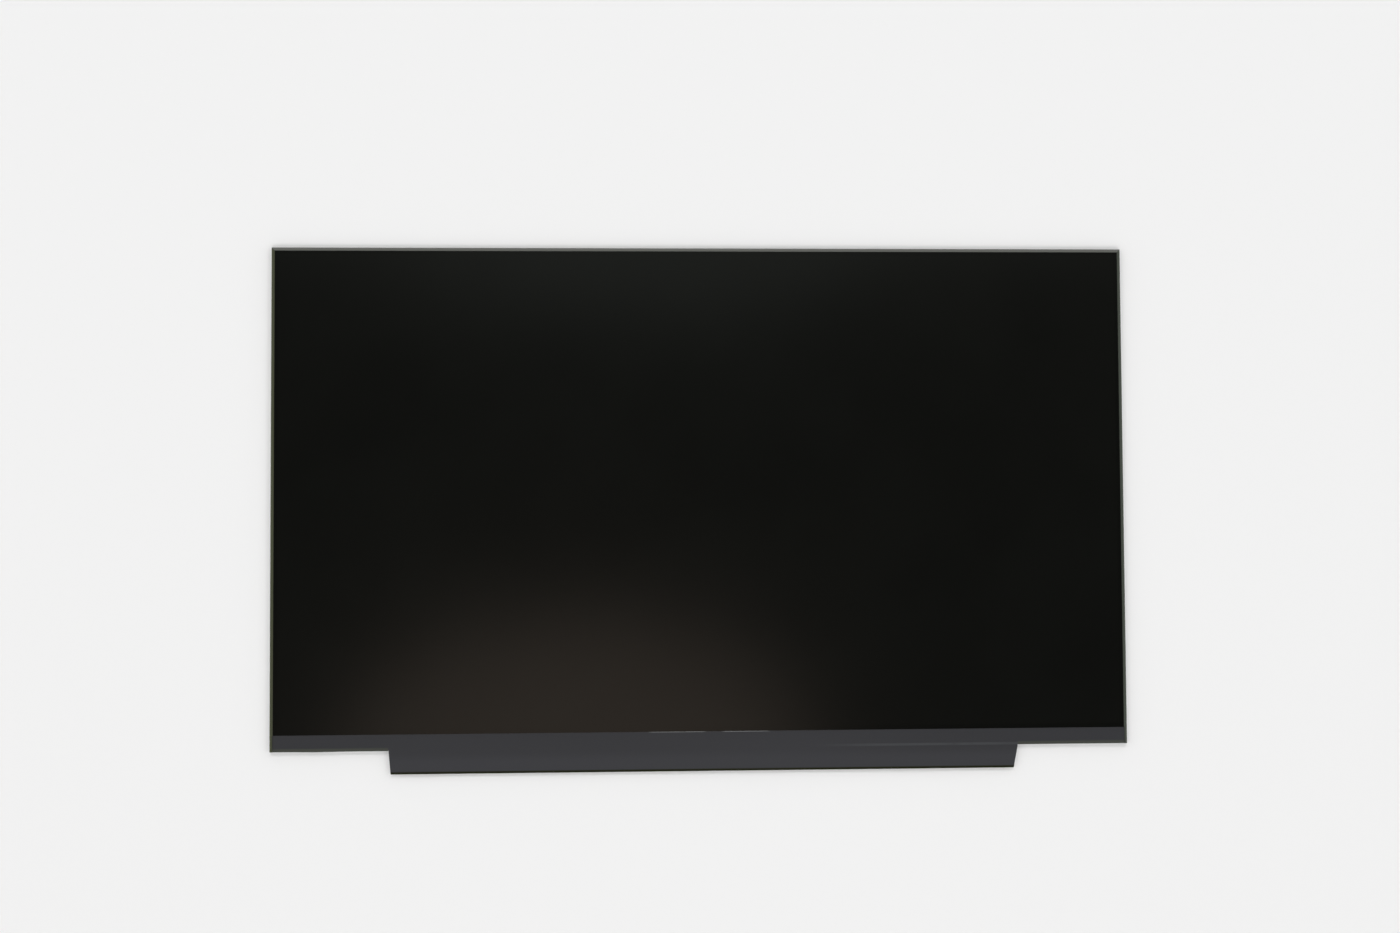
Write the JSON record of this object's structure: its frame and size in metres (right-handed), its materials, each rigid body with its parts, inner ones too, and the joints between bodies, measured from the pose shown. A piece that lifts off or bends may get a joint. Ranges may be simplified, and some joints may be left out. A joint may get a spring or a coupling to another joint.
{
  "type": "laptop screen panel",
  "caption": "Slim laptop display module without brackets: matte dark screen, thin taped edges and a grey taped circuit-board tab along the lower edge.",
  "frame": {"origin": "middle of the outline, board tab included, on the back face of the rear plate", "axes": "+X to the right across the screen, +Y to the top of the screen, +Z out of the screen"},
  "size_m": [0.3506, 0.2146, 0.0026],
  "materials": {
    "screen_film": "anti-glare matte",
    "edge_tape": "satin",
    "cover_tape": "fine matte",
    "back_film": "satin",
    "plate_metal": "rolled satin",
    "frame_plastic": "moulded matte",
    "cell_glass": "polished",
    "dark_film": "gloss",
    "black_tape": "matte",
    "white_film": "soft white",
    "prism_film": "fine ribbed",
    "guide_plastic": "clear polished",
    "led_plastic": "cream",
    "flex_film": "amber",
    "board_laminate": "solder mask",
    "chip_silicon": "polished",
    "chip_plastic": "moulded matte",
    "coil_core": "sintered",
    "capacitor_ceramic": "fired",
    "socket_plastic": "moulded",
    "socket_metal": "plated",
    "contact_metal": "plated"
  },
  "bodies": {
    "root": {"rear_plate": "plate_metal", "mould_frame": "frame_plastic", "reflector_sheet": "white_film", "light_guide": "guide_plastic", "lower_diffuser": "white_film", "lower_prism_sheet": "prism_film", "upper_prism_sheet": "prism_film", "upper_diffuser": "white_film", "led_strip": "white_film", "leds": "led_plastic", "shading_tape": "black_tape", "rear_polariser": "dark_film", "array_glass": "cell_glass", "filter_glass": "cell_glass", "front_polariser": "screen_film", "driver_chips": "chip_silicon", "board_flexes": "flex_film", "driver_board": "board_laminate", "timing_chip": "chip_plastic", "power_chip": "chip_plastic", "backlight_chip": "chip_plastic", "memory_chip": "chip_plastic", "power_coils": "coil_core", "board_capacitors": "capacitor_ceramic", "led_socket": "socket_plastic", "signal_socket_body": "socket_plastic", "signal_socket_shell": "socket_metal", "signal_socket_contacts": "contact_metal", "left_edge_tape": "edge_tape", "right_edge_tape": "edge_tape", "top_edge_tape": "edge_tape", "front_cover_tape": "cover_tape", "rear_cover_film": "back_film"}
  },
  "joints": []
}
